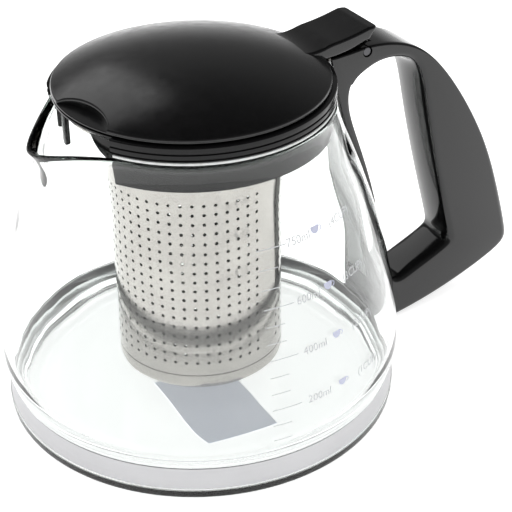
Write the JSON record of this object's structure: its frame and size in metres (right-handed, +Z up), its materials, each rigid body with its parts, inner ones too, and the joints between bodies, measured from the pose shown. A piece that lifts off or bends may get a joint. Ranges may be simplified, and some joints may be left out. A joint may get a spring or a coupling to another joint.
{
  "type": "glass teapot",
  "caption": "Turned glass teapot with a drawn spout, steel foot band, black loop handle, hinged thumb-lever lid and a perforated steel infuser.",
  "frame": {"origin": "centre of the jug's flat underside, on the surface it stands on", "axes": "+Z up, +X towards the handle, -X towards the spout; XZ is the plane of symmetry"},
  "size_m": [0.1931, 0.1336, 0.1207],
  "materials": {
    "clear_glass": "clear, polished, faint green at the edges",
    "satin_steel": "fine satin",
    "bright_steel": "bright",
    "black_plastic": "gloss moulded",
    "grey_silicone": "translucent matte"
  },
  "bodies": {
    "pot": {"glass_jug": "clear_glass", "base_band": "satin_steel", "collar_ring": "black_plastic", "rim_bead": "grey_silicone", "handle": "black_plastic", "rib_pad": "grey_silicone", "handle_screw_1": "bright_steel", "handle_screw_2": "bright_steel", "hinge_pin": "bright_steel"},
    "lid": {"lid_cover": "black_plastic", "lid_ring": "black_plastic"},
    "infuser": {"infuser_sleeve": "satin_steel", "infuser_cup": "satin_steel", "infuser_rim": "bright_steel"}
  },
  "joints": [
    {"name": "lid_hinge", "type": "hinge", "parent": "pot", "child": "lid", "pos_m": [0.0593, 0, 0.11], "axis": [0, 1, 0], "range_deg": [0, 60]},
    {"name": "infuser_lift", "type": "slide", "parent": "pot", "child": "infuser", "axis": [0, 0, 1], "range_m": [0, 0.015]}
  ],
  "couplings": [
    {"joint": "infuser_lift", "follows": "lid_hinge", "m_per_rad": 0.0143}
  ]
}
